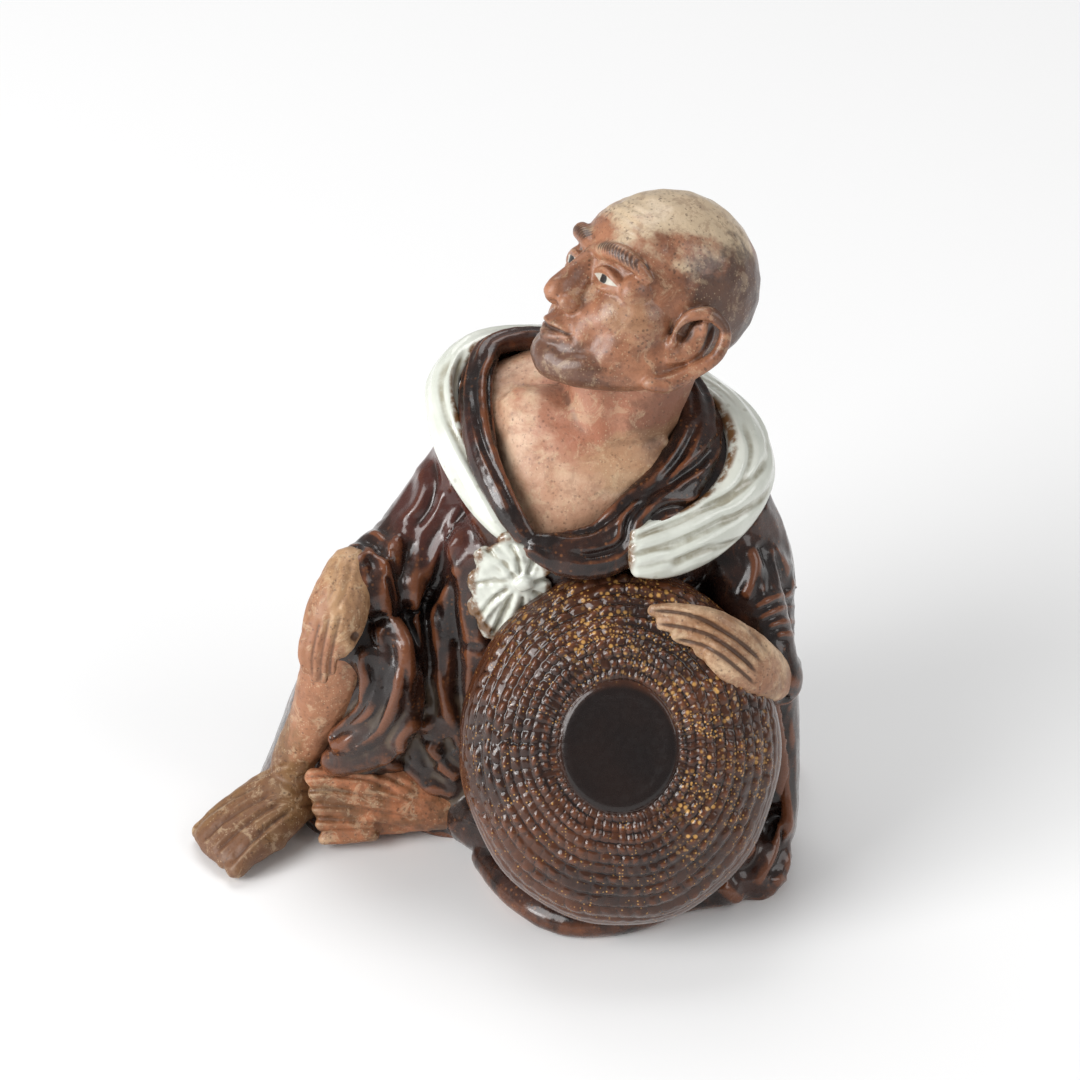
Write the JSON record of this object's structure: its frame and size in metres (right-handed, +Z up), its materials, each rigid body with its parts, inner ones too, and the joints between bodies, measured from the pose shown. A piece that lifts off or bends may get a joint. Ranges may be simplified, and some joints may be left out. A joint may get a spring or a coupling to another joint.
{
  "type": "stoneware figure",
  "caption": "Glazed stoneware figure of a seated bald monk with one knee raised, a scarf over the shoulders and a round woven hat leaning against the lap.",
  "frame": {"origin": "on the surface that the figure sits on, under the middle of its bounding box", "axes": "+Z up, -Y towards the viewer whom the chest and the hat face, +X to that viewer's right"},
  "size_m": [0.1836, 0.1276, 0.2053],
  "materials": {
    "stoneware": "dark brown glaze over fired clay, with bare clay skin and a white glazed scarf"
  },
  "bodies": {
    "root": {"figure": "stoneware"}
  },
  "joints": []
}
